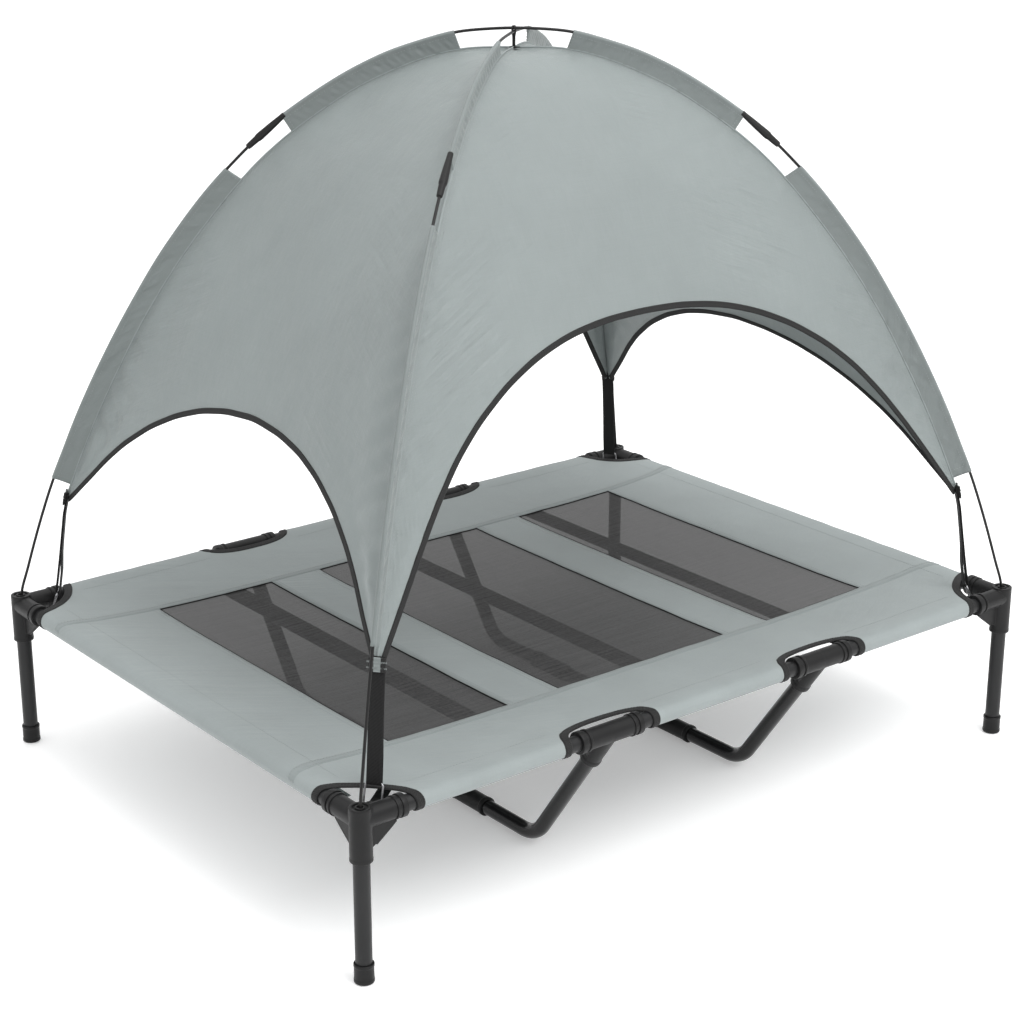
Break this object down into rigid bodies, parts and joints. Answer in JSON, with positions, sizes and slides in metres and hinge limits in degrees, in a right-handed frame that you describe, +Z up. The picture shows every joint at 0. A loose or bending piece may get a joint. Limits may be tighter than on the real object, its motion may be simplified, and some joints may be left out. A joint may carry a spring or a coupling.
{
  "type": "dog bed with frame",
  "caption": "Raised dog bed: fabric and mesh sling on a steel-tube frame with plastic corner connectors, bent centre supports and a domed shade canopy on two crossing poles.",
  "frame": {"origin": "floor level under the middle of the bed", "axes": "+X along the long side, +Y along the short side, +Z up"},
  "size_m": [1.2214, 0.9314, 1.0866],
  "materials": {
    "connector": "fine grained moulded black plastic",
    "tube": "satin dark grey powder coat",
    "support": "gloss black paint",
    "sling_fabric": "grey coated polyester weave with dark mesh panels",
    "canopy_fabric": "light grey polyester shade cloth",
    "webbing": "black woven webbing",
    "fibreglass": "black fibreglass rod",
    "ferrule": "moulded black plastic",
    "ring_wire": "nickel plated steel wire"
  },
  "bodies": {
    "frame": {"corner_connector_front_left": "connector", "leg_tube_front_left": "tube", "foot_cap_front_left": "connector", "corner_connector_front_right": "connector", "leg_tube_front_right": "tube", "foot_cap_front_right": "connector", "corner_connector_rear_right": "connector", "leg_tube_rear_right": "tube", "foot_cap_rear_right": "connector", "corner_connector_rear_left": "connector", "leg_tube_rear_left": "tube", "foot_cap_rear_left": "connector", "end_rail_left": "tube", "end_rail_right": "tube", "side_rail_front_left": "tube", "side_rail_front_middle": "tube", "side_rail_front_right": "tube", "side_rail_rear_left": "tube", "side_rail_rear_middle": "tube", "side_rail_rear_right": "tube", "tee_connector_front_left": "connector", "support_bend_front_left": "support", "support_joiner_front_left": "connector", "tee_connector_rear_left": "connector", "support_bend_rear_left": "support", "support_joiner_rear_left": "connector", "support_bar_left": "support", "tee_connector_front_right": "connector", "support_bend_front_right": "support", "support_joiner_front_right": "connector", "tee_connector_rear_right": "connector", "support_bend_rear_right": "support", "support_joiner_rear_right": "connector", "support_bar_right": "support", "bed_sling": "sling_fabric", "under_webbing_left": "webbing", "under_webbing_middle": "webbing", "under_webbing_right": "webbing"},
    "canopy": {"canopy_panel_front": "canopy_fabric", "canopy_panel_rear": "canopy_fabric", "canopy_panel_left": "canopy_fabric", "canopy_panel_right": "canopy_fabric", "pole_a_section_front_left": "fibreglass", "pole_a_ferrule_front_left": "ferrule", "pole_a_section_rear_right": "fibreglass", "pole_a_ferrule_rear_right": "ferrule", "pole_a_section_middle": "fibreglass", "pole_b_section_front_right": "fibreglass", "pole_b_ferrule_front_right": "ferrule", "pole_b_section_rear_left": "fibreglass", "pole_b_ferrule_rear_left": "ferrule", "pole_b_section_middle": "fibreglass", "canopy_strap_front_left": "webbing", "canopy_strap_front_right": "webbing", "canopy_strap_rear_right": "webbing", "canopy_strap_rear_left": "webbing"},
    "ring_front_left": {"strap_ring_front_left": "ring_wire"},
    "ring_front_right": {"strap_ring_front_right": "ring_wire"},
    "ring_rear_right": {"strap_ring_rear_right": "ring_wire"},
    "ring_rear_left": {"strap_ring_rear_left": "ring_wire"}
  },
  "joints": [
    {"name": "canopy_lift", "type": "slide", "parent": "frame", "child": "canopy", "axis": [0, 0, 1], "range_m": [0, 0.12]},
    {"name": "ring_swing_front_left", "type": "hinge", "parent": "canopy", "child": "ring_front_left", "pos_m": [-0.54953, -0.41561, 0.247], "axis": [0.6032, -0.7976, 0], "range_deg": [-6, 10]},
    {"name": "ring_swing_front_right", "type": "hinge", "parent": "canopy", "child": "ring_front_right", "pos_m": [0.54953, -0.41561, 0.247], "axis": [0.6032, 0.7976, 0], "range_deg": [-6, 10]},
    {"name": "ring_swing_rear_right", "type": "hinge", "parent": "canopy", "child": "ring_rear_right", "pos_m": [0.54953, 0.41561, 0.247], "axis": [-0.6032, 0.7976, 0], "range_deg": [-6, 10]},
    {"name": "ring_swing_rear_left", "type": "hinge", "parent": "canopy", "child": "ring_rear_left", "pos_m": [-0.54953, 0.41561, 0.247], "axis": [-0.6032, -0.7976, 0], "range_deg": [-6, 10]}
  ]
}
